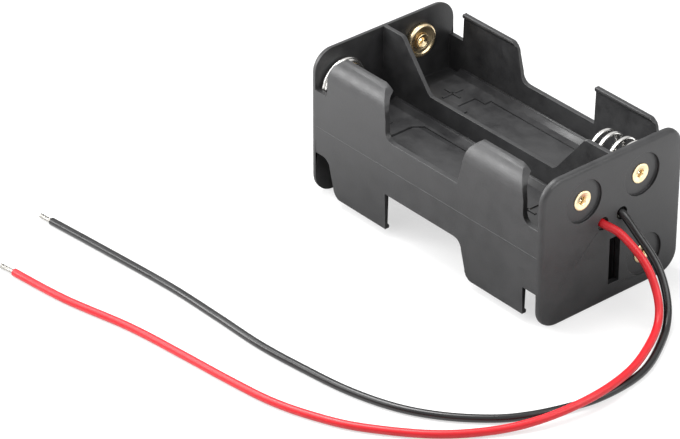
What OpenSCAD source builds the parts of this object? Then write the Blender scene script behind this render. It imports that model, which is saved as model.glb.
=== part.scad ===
// Back-to-back holder for four cylindrical cells: one open moulding with two bays
// on each face, coil springs and pressed domes riveted to its end plates, and two
// flying leads. X runs along the cells, +Z is up, and the holder stands on z = 0.

/* [Cells] */
// Diameter of one cell
cell_d = 14.2; // [14:0.1:14.4]
// Length of one cell, over its button
cell_len = 50.5; // [49.5:0.5:51.5]
// Room for the spring and the dome of one bay, along the cell
contact_room = 5.2; // [4.8:0.1:5.6]

/* [Holder] */
// Height over the end plates
holder_h = 28; // [28:0.5:29]
// Thickness of the end plates
plate_t = 1.15; // [1:0.05:1.4]
// Corner radius of the end plates and of the wall section
corner_r = 4; // [3.8:0.1:4.4]
// Rounding of the outer edge of the end plates
edge_r = 0.8; // [0.5:0.1:0.9]
// Thickness of the side walls
wall_t = 1; // [0.9:0.1:1.1]
// Thickness of the divider between neighbouring bays
divider_t = 0.8; // [0.6:0.1:1]
// Thickness of the floor between the two faces
floor_t = 0.8; // [0.6:0.1:1]

/* [Lips] */
// Height of the side wall where no tab stands on it
band_z = 19.3; // [18.5:0.1:20]
// Height of the side wall beside the far end plate
far_notch_z = 21.05; // [20:0.05:22]
// Distance from the middle to the tip of a curled tab
curl_tip_y = 12.5; // [12:0.1:13]
// Height of the tip of a straight tab
straight_tip_z = 26.4; // [26:0.1:26.6]
// Thickness of a straight tab at its tip
straight_t = 0.6; // [0.5:0.1:0.8]
// How far the snap bead of a straight tab stands in
bead_t = 0.35; // [0.2:0.05:0.5]

/* [Contacts] */
// Diameter of the spring wire
wire_d = 0.7; // [0.6:0.05:0.8]
// Radius of the widest coil, at the wire's middle
coil_base_r = 4.5; // [4.3:0.1:4.6]
// Radius of the narrowest coil, at the wire's middle
coil_tip_r = 3.65; // [3:0.05:4]
// Open turns of a spring
coil_turns = 3.75; // [3:0.25:4]
// Rise of one open turn
coil_pitch = 2.2; // [1.8:0.1:2.3]
// Outer radius of a pressed dome
dome_r = 3.2; // [2.9:0.1:3.3]
// Rise of a pressed dome
dome_h = 1; // [0.8:0.1:1.4]
// Radius of the recesses round the rivets
recess_r = 3.9; // [3.5:0.1:4.2]
// Depth of the recesses round the rivets
recess_t = 0.5; // [0.4:0.05:0.6]
// Radius of a rivet's head
rivet_head_r = 1.8; // [1.6:0.05:2]
// Thickness of the contact strip
strip_t = 0.3; // [0.25:0.05:0.4]

/* [Leads] */
// Diameter of the insulated lead
lead_d = 1.4; // [1.3:0.05:1.5]
// Diameter of the bundle of bare strands
strand_d = 0.9; // [0.8:0.05:1]
// Diameter of the holes that the leads leave by
lead_hole_d = 2.3; // [1.9:0.1:2.5]

/* [Hidden] */
$fn = 48;

cell_play = 0.15;
holder_len = cell_len + contact_room + 2 * plate_t;
holder_w = 2 * (cell_d + cell_play + wall_t) + divider_t;
half_len = holder_len / 2;
half_w = holder_w / 2;
mid_z = holder_h / 2;
in_x = half_len - plate_t;
in_y = half_w - wall_t;
bay_y = (in_y + divider_t / 2) / 2;
rivet_r = 0.95;
rivet_bore_r = 0.7;
rivet_flange_r = 1.35;
rivet_flange_t = 0.25;
rivet_head_t = 0.2;
panel_t = 0.3;
panel_w = 8.3;
gap = 0.05;

// Y and Z of the rivets: two upper ones and one lower one in the near plate, and
// one for each bay in the far plate. The lower left bay has none at the near end.
NEAR_LEFT = [-6.6, 21.8];
NEAR_RIGHT = [6.4, 21.9];
NEAR_LOWER = [7.7, 6];
NEAR_BLIND = [-7.6, 6.2];
FAR_Y = 7.8;
FAR_Z = [22.4, 5.6];
RED_HOLE = [-2.1, 15.8];
BLACK_HOLE = [2.1, 16.2];

// Tabs of one wall edge: the square end and the round end of each, along X. Those
// of the lower face are turned over with the face.
CURLED_TABS = [[-24.75, -9.6], [8.4, 24.3]];
STRAIGHT_TABS = [[-24.4, -9.5], [8.8, 24.2]];
LOWER_STRAIGHT_TABS = [[-24.6, -9.5], [9.7, 24.2]];
// Width that the divider keeps at full height at its far and near end, and the
// place where each slope reaches the low middle part.
DIVIDER_FAR = [-23, -16];
DIVIDER_NEAR = [15.4, 22.3];

// Middle line of each lead: through the end plate, down to the ground and along it.
RED_ROUTE = [
    [27.9, -2.1, 15.8], [29.2, -2.1, 15.8], [32, -0.6, 14.4], [36.2, 0.9, 10.2],
    [39.5, 0.6, 5.8], [42, -1.5, 2.8], [45.5, -7.2, 2.2], [48.6, -14.5, 2.2],
    [50, -23.5, 2.2], [48.6, -32.7, 1.4], [45.3, -40.5, 0.8], [39.8, -48.4, 0.72],
    [31, -55.8, 0.72], [23.9, -59.5, 0.72], [16.3, -62, 0.72], [7.2, -63.4, 0.72],
    [-2.7, -64.5, 0.72], [-15, -66.1, 0.72], [-28.6, -69.2, 0.72], [-40.7, -70.7, 0.72],
];
BLACK_ROUTE = [
    [27.9, 2.1, 16.2], [29.2, 2.1, 16.2], [31.6, 3.2, 13], [35.6, 4.4, 8],
    [39.5, 3, 3.6], [42.8, -0.6, 0.9], [47.3, -8.1, 0.72], [49.1, -14, 0.72],
    [49.3, -21.4, 0.72], [48, -27.4, 0.72], [45.8, -33.3, 0.72], [42.8, -38.2, 0.72],
    [37.3, -43.7, 0.72], [30.6, -47.9, 0.72], [22.1, -50.7, 0.72], [12.6, -52.2, 0.72],
    [2.8, -53.2, 0.72], [-8.2, -53.3, 0.72], [-20.6, -53.6, 0.72], [-36.6, -55, 0.72],
    [-49.6, -56.3, 0.72],
];
RED_TIP = [-44, -71.1, 0.6];
BLACK_TIP = [-52.5, -56.5, 0.6];

// ---------------------------------------------------------------- curves

function unit(v) = v / norm(v);

// Points of an arc in the plane, from angle a to angle b.
function arc(c, r, a, b, n = 6) =
    [for (i = [0:n]) let (t = a + (b - a) * i / n) c + r * [cos(t), sin(t)]];

// One point of a smooth curve between p[i] and p[i + 1].
function spline_at(p, i, t) =
    let (
        n = len(p),
        a = p[max(i - 1, 0)], b = p[i], c = p[min(i + 1, n - 1)], d = p[min(i + 2, n - 1)]
    )
    0.5 * (2 * b + (c - a) * t + (2 * a - 5 * b + 4 * c - d) * t * t
        + (3 * b - a - 3 * c + d) * t * t * t);

// The route with one more point between each two of its own.
function smooth_route(p) =
    concat([for (i = [0:len(p) - 2], t = [0, 0.5]) spline_at(p, i, t)], [p[len(p) - 1]]);

function tangent(p, i) = unit(p[min(i + 1, len(p) - 1)] - p[max(i - 1, 0)]);

// The part of v square to t.
function square_to(v, t) = unit(v - t * (v * t));

// A round tube of radius r along the points p, closed at both ends.
module tube(p, r, sides = 8, start = [0, 0.1, 1]) {
    n = len(p);
    normals = [
        for (i = 0, v = square_to(start, tangent(p, 0)); i < n;
            i = i + 1, v = i < n ? square_to(v, tangent(p, i)) : v) v
    ];
    rings = [
        for (i = [0:n - 1], k = [0:sides - 1])
            let (v = normals[i], w = cross(tangent(p, i), v), a = 360 * k / sides)
            p[i] + r * (cos(a) * v + sin(a) * w)
    ];
    sides_faces = [
        for (i = [0:n - 2], k = [0:sides - 1])
            let (a = i * sides + k, b = i * sides + (k + 1) % sides)
            each [[a, b, b + sides], [a, b + sides, a + sides]]
    ];
    ends = [
        [for (k = [sides - 1:-1:0]) k],
        [for (k = [0:sides - 1]) (n - 1) * sides + k],
    ];
    outward = [
        for (f = concat(sides_faces, ends)) [f[0], for (j = [len(f) - 1:-1:1]) f[j]]
    ];
    polyhedron(points = rings, faces = outward);
}

// ---------------------------------------------------------------- moulding

// Stands a drawing on its edge: drawn x becomes Y, drawn y becomes Z, and the
// extrusion runs along X from x0 to x1.
module along_x(x0, x1) {
    translate([x0, 0, 0]) rotate([90, 0, 90]) linear_extrude(x1 - x0) children();
}

// The same for a drawing in X and Z that is extruded along Y from y0 to y1.
module along_y(y0, y1) {
    translate([0, y1, 0]) rotate([90, 0, 0]) linear_extrude(y1 - y0) children();
}

// Turns a piece made for one face of the holder over to the other face.
module turned() {
    translate([0, 0, holder_h]) rotate([0, 180, 0]) children();
}

// Section of the whole holder, from end to end.
module holder_section() {
    w = half_w - corner_r;
    translate([-half_w, corner_r]) square([holder_w, holder_h - 2 * corner_r]);
    translate([-w, 0]) square([2 * w, holder_h]);
    for (y = [-w, w], z = [corner_r, holder_h - corner_r])
        translate([y, z]) circle(corner_r);
}

// Edge profile of an end plate: the thickness along x, the outer corner rounded.
function plate_edge(reach) = concat(
    [[0, 0], [0, reach]],
    [for (p = arc([plate_t - edge_r, reach - edge_r], edge_r, 90, 0, 4)) p],
    [[plate_t, 0]]
);

// One end plate with its inner face at x = 0 and a rounded outer edge.
module end_plate() {
    w = half_w - corner_r;
    h = mid_z - corner_r;
    translate([0, 0, mid_z]) {
        for (s = [-1, 1]) {
            translate([0, 0, -h]) linear_extrude(2 * h)
                polygon([for (p = plate_edge(half_w)) [p[0], s * p[1]]]);
            translate([0, w, 0]) rotate([90, 0, 0]) linear_extrude(2 * w)
                polygon([for (p = plate_edge(mid_z)) [p[0], s * p[1]]]);
        }
        for (y = [-w, w], z = [-h, h])
            translate([0, y, z]) rotate([0, 90, 0])
                rotate_extrude() polygon([for (p = plate_edge(corner_r)) [p[1], p[0]]]);
    }
}

// Outline of one tab that stands on the wall's band, in X and Z. The square end has
// the small corner, the round end a large one and a fillet at its foot.
module tab_outline(tab, top, r_square, r_round, lean_square, lean_round) {
    foot = 1.8;
    x0 = tab[0];
    x1 = tab[1];
    polygon(concat(
        [[x0, band_z - 1], [x0, band_z]],
        arc([x0 + lean_square + r_square, top - r_square], r_square, 180, 90),
        arc([x1 - lean_round - r_round, top - r_round], r_round, 90, 0),
        arc([x1 + foot, band_z + foot], foot, 180, 270),
        [[x1 + foot, band_z - 1]]
    ));
}

// Outline of one wall above mid height: the band, the higher stretch beside the far
// plate, and the tabs.
module wall_outline(tabs, curled) {
    translate([-half_len, mid_z - 1]) square([holder_len, band_z - mid_z + 1]);
    translate([-half_len, mid_z]) square([half_len + tabs[0][0], far_notch_z - mid_z]);
    for (tab = tabs)
        if (curled) tab_outline(tab, holder_h + 0.2, 3, 5, tab[0] > 0 ? 1.4 : 0, 0);
        else tab_outline(tab, straight_tip_z + 0.1, 0.3, 2.2, 0, 0.8);
}

// Section of a curled wall: a quarter circle over the cells, cut off at its tip.
module curled_section() {
    difference() {
        intersection() {
            holder_section();
            translate([curl_tip_y, mid_z]) square([corner_r, mid_z]);
        }
        translate([0, mid_z - 1]) square([in_y, mid_z - corner_r + 1]);
        translate([half_w - corner_r, holder_h - corner_r]) circle(corner_r - wall_t);
    }
}

// Section of a straight wall: it thins from the band to the tip, on both sides, and
// has a snap bead along the tip.
module straight_section() {
    tip = straight_tip_z;
    thin = (wall_t - straight_t) / 2;
    y0 = in_y + thin;
    polygon([
        [in_y, mid_z], [half_w, mid_z], [half_w, mid_z + 2], [half_w - thin, tip - 0.1],
        [half_w - thin - 0.1, tip], [y0 - bead_t + 0.15, tip], [y0 - bead_t, tip - 0.2],
        [y0 - bead_t, tip - 0.6], [y0, tip - 1], [in_y, band_z - 1],
    ]);
}

// Upper half of the wall on the +Y side.
module half_wall(tabs, curled) {
    intersection() {
        along_x(-in_x - 0.2, in_x + 0.2)
            if (curled) curled_section();
            else straight_section();
        along_y(curl_tip_y - 1, half_w + 1) wall_outline(tabs, curled);
    }
}

// Divider of one face, high at both ends and low in the middle.
module divider() {
    along_y(-divider_t / 2, divider_t / 2)
        polygon([
            [-in_x - 0.2, mid_z], [-in_x - 0.2, holder_h], [DIVIDER_FAR[0] - 0.4, holder_h],
            [DIVIDER_FAR[0] + 0.3, holder_h - 0.3], [DIVIDER_FAR[1] - 0.3, band_z + 0.5],
            [DIVIDER_FAR[1] + 0.5, band_z], [DIVIDER_NEAR[0] - 0.5, band_z],
            [DIVIDER_NEAR[0] + 0.3, band_z + 0.5], [DIVIDER_NEAR[1] - 0.3, holder_h - 0.3],
            [DIVIDER_NEAR[1] + 0.4, holder_h], [in_x + 0.2, holder_h], [in_x + 0.2, mid_z],
        ]);
}

// Raised panels that carry the two cells of one face.
module panels() {
    for (bay = [[-1, -15.7, 24], [1, -22, 24]])
        translate([bay[1], bay[0] * bay_y - panel_w / 2, mid_z])
            cube([bay[2] - bay[1], panel_w, floor_t / 2 + panel_t]);
}

// A round hole or recess along X at the point at in Y and Z, from x0 to x1.
module bore_x(at, r, x0, x1) {
    translate([x0, at[0], at[1]]) rotate([0, 90, 0]) cylinder(r = r, h = x1 - x0);
}

// Everything that is taken away from the end plates, and the gaps that the contact
// strips pass through.
module plate_cuts() {
    for (at = [NEAR_LEFT, NEAR_RIGHT, NEAR_LOWER]) {
        bore_x(at, recess_r, half_len - recess_t, half_len + 1);
        bore_x(at, rivet_r + gap, in_x - 1, half_len + 1);
    }
    for (y = [-FAR_Y, FAR_Y], z = FAR_Z)
        bore_x([y, z], rivet_r + gap, -half_len - 1, -in_x + 1);
    for (at = [RED_HOLE, BLACK_HOLE])
        bore_x(at, lead_hole_d / 2, in_x - 1, half_len + 1);
    // Seats of the two straps on the far plate
    for (z = FAR_Z)
        translate([-half_len - 1, -10.8, z - 3.1]) cube([1 + recess_t, 21.6, 6.2]);
    // Slot beside the divider, and the gaps in floor and divider for the strips
    translate([in_x - 1, -0.4, 3.2]) cube([3, 2.4, 8.9]);
    translate([in_x - 0.5, 1.8, mid_z - 1.2]) cube([0.5, 8.6, 2.4]);
    translate([in_x - 0.5, -0.5, 0.8]) cube([0.5, 1, 2.4]);
    // Seat for the head of the eyelet that holds only the negative terminal
    bore_x(NEAR_BLIND, rivet_head_r + 0.1, in_x - 0.1, in_x + rivet_head_t);
}

module holder_body() {
    color([0.09, 0.09, 0.1])
        difference() {
            union() {
                translate([in_x, 0, 0]) end_plate();
                translate([-in_x, 0, 0]) mirror([1, 0, 0]) end_plate();
                half_wall(STRAIGHT_TABS, false);
                mirror([0, 1, 0]) half_wall(CURLED_TABS, true);
                turned() half_wall(CURLED_TABS, true);
                turned() mirror([0, 1, 0]) half_wall(LOWER_STRAIGHT_TABS, false);
                translate([-in_x - 0.2, -in_y - 0.2, mid_z - floor_t / 2])
                    cube([2 * in_x + 0.4, 2 * in_y + 0.4, floor_t]);
                divider();
                turned() divider();
                panels();
                turned() panels();
            }
            plate_cuts();
        }
}

// ---------------------------------------------------------------- contacts

// Places a piece on the inner face of an end plate, at the point at in Y and Z. The
// piece is made with its back on x = 0 and faces +X, into the bay.
module on_far(at) {
    translate([-in_x, at[0], at[1]]) children();
}

module on_near(at) {
    translate([in_x, at[0], at[1]]) rotate([0, 0, 180]) children();
}

function ease(t) = t <= 0 ? 0 : t >= 1 ? 1 : t * t * (3 - 2 * t);

// Radius and rise of the wire's middle line after u turns: a small loop round the
// rivet, a spiral out to the base coil, one closed turn, the open turns narrowing
// to the tip, and one closed turn that meets the cell.
loop_r = rivet_r + gap + wire_d / 2;
close_step = wire_d + gap;
tip_u = 2.5 + coil_turns;
function coil_r(u) =
    u < 1.5 ? loop_r + (coil_base_r - loop_r) * ease((u - 1) / 0.5)
    : coil_base_r + (coil_tip_r - coil_base_r) * min(1, max(0, (u - 2.5) / coil_turns));
function coil_rise(u) =
    u < 1.5 ? 0
    : u < 2.5 ? close_step * (u - 1.5)
    : u < tip_u ? close_step + coil_pitch * (u - 2.5)
    : close_step + coil_pitch * coil_turns + close_step * (u - tip_u);

// A conical spring whose wire rests on x = base. Its axis goes from the rivet to
// foot as the spiral opens and on to tip along the open turns, both in Y and Z, and
// phase turns the whole wire.
module coil_spring(base, phase, foot, tip) {
    steps = 18;
    line = [
        for (i = [3:round((tip_u + 1) * steps)])
            let (
                u = i / steps, a = 360 * u + phase, r = coil_r(u),
                axis = foot * ease((u - 1) / 0.5)
                    + (tip - foot) * min(1, max(0, (u - 2.5) / coil_turns))
            )
            [base + wire_d / 2 + coil_rise(u), axis[0] + r * cos(a), axis[1] + r * sin(a)]
    ];
    color([0.78, 0.79, 0.8]) tube(line, wire_d / 2, 8, [1, 0, 0]);
}

// A pressed dome with its rim on x = base and a hole for the rivet in its flat top.
module dome(base) {
    r0 = rivet_r + gap;
    color([0.8, 0.66, 0.36])
        translate([base, 0, 0]) rotate([0, 90, 0]) rotate_extrude()
            polygon([
                [r0, dome_h - strip_t], [r0, dome_h], [1.8, dome_h],
                [dome_r - 0.8, dome_h - 0.08], [dome_r - 0.45, dome_h - 0.22],
                [dome_r - 0.15, dome_h - 0.5], [dome_r, 0],
                [dome_r - 0.3, 0], [dome_r - 0.45, dome_h - 0.6],
                [dome_r - 0.75, dome_h - 0.42], [dome_r - 1, dome_h - strip_t - 0.04],
                [1.8, dome_h - strip_t],
            ]);
}

// A hollow rivet along X. The head sits on x = outer, facing -X, and the flared
// end lies on x = inner.
module rivet(outer, inner) {
    color([0.82, 0.68, 0.36])
        rotate([0, 90, 0]) rotate_extrude()
            polygon([
                [rivet_bore_r, outer - rivet_head_t + 0.08],
                [rivet_bore_r + 0.12, outer - rivet_head_t],
                [rivet_head_r - 0.4, outer - rivet_head_t],
                [rivet_head_r - 0.1, outer - rivet_head_t + 0.08], [rivet_head_r, outer - 0.05],
                [rivet_head_r, outer], [rivet_r, outer], [rivet_r, inner],
                [rivet_flange_r, inner], [rivet_flange_r, inner + 0.1],
                [rivet_flange_r - 0.2, inner + rivet_flange_t],
                [rivet_bore_r + 0.1, inner + rivet_flange_t], [rivet_bore_r, inner + 0.15],
            ]);
}

// A flat bar in Y and Z with round ends, from point a to point b.
module bar(a, b, r_a, r_b, w) {
    d = b - a;
    translate(a) circle(r_a);
    translate(b) circle(r_b);
    translate(a) rotate(atan2(d[1], d[0])) translate([0, -w / 2]) square([norm(d), w]);
}

// A contact strip of drawing children(), lying on the near plate's inner face and
// drilled for the rivets at the points holes.
module near_strip(holes) {
    color([0.8, 0.79, 0.74])
        difference() {
            along_x(in_x - strip_t, in_x) children();
            for (at = holes) bore_x(at, rivet_r + gap, in_x - 1, in_x + 1);
        }
}

seat = recess_t - plate_t;
FAR_UPPER_LEFT = [-FAR_Y, FAR_Z[0]];
FAR_UPPER_RIGHT = [FAR_Y, FAR_Z[0]];
FAR_LOWER_LEFT = [-FAR_Y, FAR_Z[1]];
FAR_LOWER_RIGHT = [FAR_Y, FAR_Z[1]];

module spring_far_upper() {
    on_far(FAR_UPPER_LEFT) coil_spring(0, 160, [-2.1, -1.9], [-2.4, -3.6]);
}
module spring_near_upper() {
    on_near(NEAR_RIGHT) coil_spring(strip_t, 180, [-1, -0.2], [-0.9, -0.5]);
}
module spring_far_lower() {
    on_far(FAR_LOWER_RIGHT) coil_spring(0, 90, [-0.2, 0.6], [-0.2, 0.6]);
}
module spring_near_lower() {
    on_near(NEAR_BLIND) coil_spring(strip_t, 200, [0, 0], [0, 0]);
}

module dome_near_upper() {
    on_near(NEAR_LEFT) dome(strip_t);
}
module dome_far_upper() {
    on_far(FAR_UPPER_RIGHT) dome(0);
}
module dome_near_lower() {
    on_near(NEAR_LOWER) dome(strip_t);
}
module dome_far_lower() {
    on_far(FAR_LOWER_LEFT) dome(0);
}

module rivet_near_left() {
    on_near(NEAR_LEFT) rivet(seat, strip_t + dome_h);
}
module rivet_near_right() {
    on_near(NEAR_RIGHT) rivet(seat, strip_t + wire_d);
}
module rivet_near_lower() {
    on_near(NEAR_LOWER) rivet(seat, strip_t + dome_h);
}
module eyelet_negative() {
    on_near(NEAR_BLIND) rivet(0, strip_t + wire_d);
}
module rivet_far_upper_left() {
    on_far(FAR_UPPER_LEFT) rivet(seat - strip_t, wire_d);
}
module rivet_far_upper_right() {
    on_far(FAR_UPPER_RIGHT) rivet(seat - strip_t, dome_h);
}
module rivet_far_lower_left() {
    on_far(FAR_LOWER_LEFT) rivet(seat - strip_t, dome_h);
}
module rivet_far_lower_right() {
    on_far(FAR_LOWER_RIGHT) rivet(seat - strip_t, wire_d);
}

// Strip that joins the upper and lower contact of the +Y bays at the near end.
module link_near() {
    near_strip([NEAR_RIGHT, NEAR_LOWER]) bar(NEAR_RIGHT, NEAR_LOWER, 2.9, 3.1, 4.6);
}

// Strip that joins the two contacts of one face, on the outside of the far plate.
module far_strap(z) {
    color([0.8, 0.79, 0.74])
        difference() {
            along_x(-in_x + seat - strip_t, -in_x + seat)
                bar([-FAR_Y, z], [FAR_Y, z], 2.6, 2.6, 5.2);
            for (y = [-FAR_Y, FAR_Y])
                bore_x([y, z], rivet_r + gap, -half_len - 1, -in_x);
        }
}

module strap_far_upper() {
    far_strap(FAR_Z[0]);
}
module strap_far_lower() {
    far_strap(FAR_Z[1]);
}

// Strip from the upper left dome to the hole that the red lead leaves by.
module terminal_positive() {
    near_strip([NEAR_LEFT]) bar(NEAR_LEFT, RED_HOLE, 3.3, 1.25, 2.2);
}

// Strip from the hole of the black lead, down past the floor and under the slot to
// the lower left spring.
module terminal_negative() {
    near_strip([NEAR_BLIND]) {
        bar(BLACK_HOLE, [3.3, 13], 1.2, 0.8, 1.6);
        bar([3.3, 13], [3.3, 2], 0.8, 0.8, 1.6);
        bar([3.3, 2], [-6, 2], 0.8, 0.8, 1.6);
        translate(NEAR_BLIND) circle(5.7);
    }
}

// ---------------------------------------------------------------- leads

// The smooth route, kept on or above the ground for a lead of radius r.
function laid(route, r) = [for (p = smooth_route(route)) [p[0], p[1], max(p[2], r + 0.02)]];

module lead(route) {
    tube(laid(route, lead_d / 2), lead_d / 2);
}

// The bare end of a lead, running on from its insulation.
module strands(route, tip) {
    n = len(route);
    end = route[n - 1];
    p = smooth_route(route);
    way = unit(p[len(p) - 1] - p[len(p) - 2]);
    color([0.8, 0.78, 0.74]) tube([end, end + way, (end + way + tip) / 2, tip], strand_d / 2);
}

module red_lead() {
    color([0.75, 0.05, 0.06]) lead(RED_ROUTE);
}
module black_lead() {
    color([0.06, 0.06, 0.07]) lead(BLACK_ROUTE);
}
module red_strands() {
    strands(RED_ROUTE, RED_TIP);
}
module black_strands() {
    strands(BLACK_ROUTE, BLACK_TIP);
}

holder_body();
spring_far_upper();
spring_near_upper();
spring_far_lower();
spring_near_lower();
dome_near_upper();
dome_far_upper();
dome_near_lower();
dome_far_lower();
rivet_near_left();
rivet_near_right();
rivet_near_lower();
eyelet_negative();
rivet_far_upper_left();
rivet_far_upper_right();
rivet_far_lower_left();
rivet_far_lower_right();
link_near();
strap_far_upper();
strap_far_lower();
terminal_positive();
terminal_negative();
red_lead();
black_lead();
red_strands();
black_strands();
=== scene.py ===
"""Dressed scene of a back-to-back holder for four cylindrical cells.

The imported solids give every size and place. This script adds the moulded body with its
fine edge rounding, the cell-shaped windows and polarity marks of its floors, smooth
spring wire, pressed contacts, the two flying leads with their bare strands, and a plain
pale studio.
"""
from __future__ import annotations

import logging
import math
from dataclasses import dataclass, field
from enum import Enum

import bmesh
import bpy
from mathutils import Matrix, Vector


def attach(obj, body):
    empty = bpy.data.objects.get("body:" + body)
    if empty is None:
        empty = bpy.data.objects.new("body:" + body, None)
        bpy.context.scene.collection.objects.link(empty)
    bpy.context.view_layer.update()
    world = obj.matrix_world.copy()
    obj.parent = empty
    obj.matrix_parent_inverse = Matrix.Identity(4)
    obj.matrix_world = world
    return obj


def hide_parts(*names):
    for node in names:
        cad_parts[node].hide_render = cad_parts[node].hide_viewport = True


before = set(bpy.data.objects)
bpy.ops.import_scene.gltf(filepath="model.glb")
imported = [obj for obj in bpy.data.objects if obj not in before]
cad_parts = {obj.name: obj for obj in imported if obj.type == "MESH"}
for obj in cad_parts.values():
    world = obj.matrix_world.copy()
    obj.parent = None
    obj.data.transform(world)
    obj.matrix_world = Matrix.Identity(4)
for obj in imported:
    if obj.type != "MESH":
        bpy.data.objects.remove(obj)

LOG = logging.getLogger("cell_holder")
MM = 0.001  # metres; sizes and places are in millimetres where nothing else is said
INNER_X = 27.85  # from the middle to the inner faces of the end plates
MID_Z = 14.0  # height of the holder's middle
SQUARE = ((-1, -1), (1, -1), (1, 1), (-1, 1))  # corners, counter-clockwise
SAME_POINT = 2e-6  # metres; corners of a solid's triangles nearer than this are one
LEVEL_DEGREES = 0.6  # triangles that bend less than this are laid out afresh
Colour = tuple[float, float, float]
Point = tuple[float, float, float]
Pair = tuple[float, float]


class Slot(Enum):
    """Material slots of the record, one named by each finish."""

    PLASTIC = "plastic_black"
    NICKEL = "spring_nickel"
    BRASS = "contact_brass"
    TIN = "strip_tinned"
    RED = "insulation_red"
    BLACK = "insulation_black"
    STRANDS = "strands_tinned"


class Face(Enum):
    """The two faces of the holder, each with two bays."""

    UPPER = 1
    LOWER = -1


class Plate(Enum):
    """The two end plates, each with the way in which its parts stand out of it."""

    FAR = 1
    NEAR = -1


# ------------------------------------------------------------------ node helpers


@dataclass
class NodeSheet:
    """A node tree with short calls that place its nodes and join them.

    Attributes:
        tree: The node tree that is filled.
        column: Where the next node is drawn, so that the tree can be read.
    """

    tree: bpy.types.NodeTree
    column: int = 0

    def add(self, kind: str, **values: object) -> bpy.types.Node:
        """Places one node.

        Args:
            kind: The node's type name.
            **values: Properties of the node, set by name.

        Returns:
            The new node.
        """
        node = self.tree.nodes.new(kind)
        node.location = (self.column, 0)
        self.column += 190
        for name, value in values.items():
            setattr(node, name, value)
        return node

    def join(self, source: bpy.types.NodeSocket, target: bpy.types.NodeSocket) -> None:
        """Joins an output socket to an input socket."""
        self.tree.links.new(source, target)

    def feed(self, node: bpy.types.Node, **inputs: object) -> bpy.types.Node:
        """Fills a node's inputs with values or joins them to sockets.

        Args:
            node: The node whose inputs are filled.
            **inputs: Socket names with underscores for blanks, or i0, i1 for places.

        Returns:
            The same node.
        """
        for name, value in inputs.items():
            by_place = name[0] == "i" and name[1:].isdigit()
            key = int(name[1:]) if by_place else name.replace("_", " ")
            if isinstance(value, bpy.types.NodeSocket):
                self.join(value, node.inputs[key])
            else:
                node.inputs[key].default_value = value
        return node

    def math(self, operation: str, a: object, b: object = 0.0) -> bpy.types.NodeSocket:
        """Places a Math node.

        Args:
            operation: The name of the operation.
            a: First value or socket.
            b: Second value or socket.

        Returns:
            The result's socket.
        """
        node = self.add("ShaderNodeMath", operation=operation)
        return self.feed(node, i0=a, i1=b).outputs[0]

    def spread(self, value: bpy.types.NodeSocket, low: float, high: float,
               start: float = 0.0, end: float = 1.0) -> bpy.types.NodeSocket:
        """Maps a value from one range to another and holds it there.

        Args:
            value: The socket to map.
            low: Result at start.
            high: Result at end.
            start: Value that gives low.
            end: Value that gives high.

        Returns:
            The mapped socket.
        """
        node = self.add("ShaderNodeMapRange")
        self.feed(node, Value=value, From_Min=start, From_Max=end, To_Min=low, To_Max=high)
        return node.outputs["Result"]

    def blend(self, mask: bpy.types.NodeSocket, a: Colour, b: Colour) -> bpy.types.NodeSocket:
        """Mixes two colours by a mask.

        Args:
            mask: Zero gives a, one gives b.
            a: First colour.
            b: Second colour.

        Returns:
            The mixed colour's socket.
        """
        node = self.add("ShaderNodeMix", data_type="RGBA")
        node.inputs[6].default_value = (*a, 1.0)
        node.inputs[7].default_value = (*b, 1.0)
        self.join(mask, node.inputs[0])
        return node.outputs[2]

    def rays(self) -> tuple[bpy.types.NodeSocket, bpy.types.NodeSocket]:
        """Gives masks for what is seen directly or through glass, and for what is mirrored."""
        path = self.add("ShaderNodeLightPath").outputs
        direct = self.math("MAXIMUM", path["Is Camera Ray"], path["Is Transmission Ray"])
        return direct, path["Is Glossy Ray"]


def blank_sheet(owner: bpy.types.ID) -> NodeSheet:
    """Clears the nodes of a material or world and gives a sheet on them."""
    owner.use_nodes = True
    owner.node_tree.nodes.clear()
    return NodeSheet(owner.node_tree)


def new_group(name: str, inputs: dict[str, float], outputs: tuple[str, ...]) -> NodeSheet:
    """Starts a shader node group with a vector input and named numbers.

    Args:
        name: The group's name.
        inputs: Names and first values of its number inputs.
        outputs: Names of its outputs.

    Returns:
        A sheet on the group's tree.
    """
    tree = bpy.data.node_groups.new(name, "ShaderNodeTree")
    tree.interface.new_socket("Vector", in_out="INPUT", socket_type="NodeSocketVector")
    for key, value in inputs.items():
        socket = tree.interface.new_socket(key, in_out="INPUT", socket_type="NodeSocketFloat")
        socket.default_value = value
    for key in outputs:
        tree.interface.new_socket(key, in_out="OUTPUT", socket_type="NodeSocketFloat")
    return NodeSheet(tree)


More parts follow.
